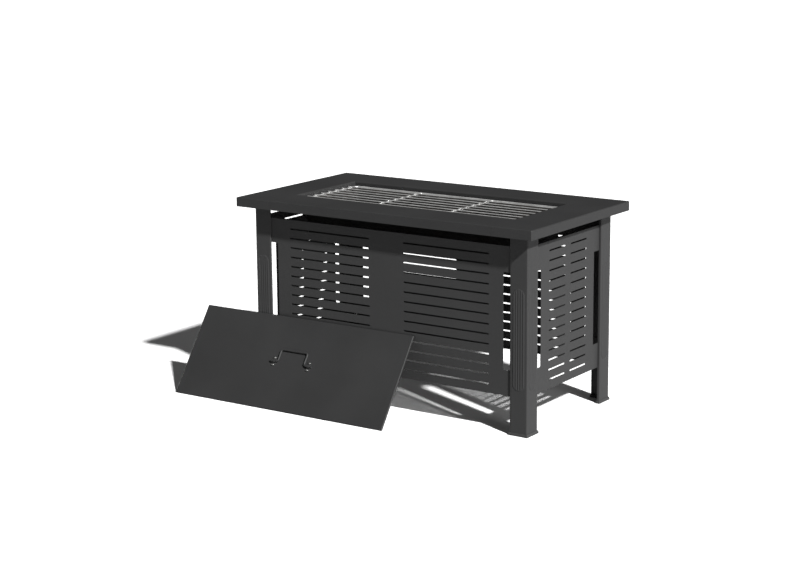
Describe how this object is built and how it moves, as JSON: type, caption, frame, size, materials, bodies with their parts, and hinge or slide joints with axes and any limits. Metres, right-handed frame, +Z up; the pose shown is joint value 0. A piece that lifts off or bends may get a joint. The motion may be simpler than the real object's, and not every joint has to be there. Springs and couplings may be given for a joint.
{
  "type": "fire pit with grate",
  "caption": "Rectangular sheet-metal fire-pit table with slotted side panels, a lift-out bowl, a wire grate and a loose lid with a swinging wire handle.",
  "frame": {"origin": "on the ground, at the middle of the rectangle that the table and the lid leaning on its front cover together", "axes": "+Z up, +X to the right along the table's length, +Y from the front to the back"},
  "size_m": [1.2224, 0.7156, 0.62],
  "materials": {
    "powder_coat": "satin charcoal powder coat with a fine texture",
    "foot_plastic": "matt charcoal moulded plastic",
    "heat_paint": "matt black heat-resistant paint",
    "bright_wire": "chrome-plated steel wire",
    "bright_screw": "bright nickel",
    "plain_steel": "zinc plated"
  },
  "bodies": {
    "table": {"tabletop_end_left": "powder_coat", "tabletop_end_right": "powder_coat", "tabletop_front": "powder_coat", "tabletop_back": "powder_coat", "seam_plate_front_left": "powder_coat", "seam_plate_front_right": "powder_coat", "seam_plate_back_left": "powder_coat", "seam_plate_back_right": "powder_coat", "weld_studs": "plain_steel", "stud_nuts": "plain_steel", "leg_front_left": "powder_coat", "leg_front_right": "powder_coat", "leg_back_left": "powder_coat", "leg_back_right": "powder_coat", "foot_cap_front_left": "foot_plastic", "foot_cap_front_right": "foot_plastic", "foot_cap_back_left": "foot_plastic", "foot_cap_back_right": "foot_plastic", "panel_front": "powder_coat", "panel_back": "powder_coat", "panel_left": "powder_coat", "panel_right": "powder_coat", "leg_weld_nuts": "plain_steel", "panel_screws": "plain_steel"},
    "fire_bowl": {"fire_bowl": "heat_paint"},
    "grate": {"grate_frame": "bright_wire", "grate_rods": "bright_wire"},
    "lid": {"lid_plate": "powder_coat", "handle_clip_left": "powder_coat", "handle_clip_right": "powder_coat", "clip_screws": "bright_screw", "clip_nuts": "plain_steel"},
    "lid_handle": {"lid_handle": "powder_coat"}
  },
  "joints": [
    {"name": "bowl_lift", "type": "slide", "parent": "table", "child": "fire_bowl", "axis": [0, 0, 1], "range_m": [0, 0.16]},
    {"name": "grate_lift", "type": "slide", "parent": "fire_bowl", "child": "grate", "axis": [0, 0, 1], "range_m": [0, 0.12]},
    {"name": "lid_pull", "type": "slide", "parent": "table", "child": "lid", "axis": [0.0086, -0.8191, 0.5736], "range_m": [0, 0.3]},
    {"name": "handle_swing", "type": "hinge", "parent": "lid", "child": "lid_handle", "pos_m": [-0.21521, -0.26926, 0.1309], "axis": [0.9999, 0.0105, 0], "range_deg": [0, 180]}
  ]
}
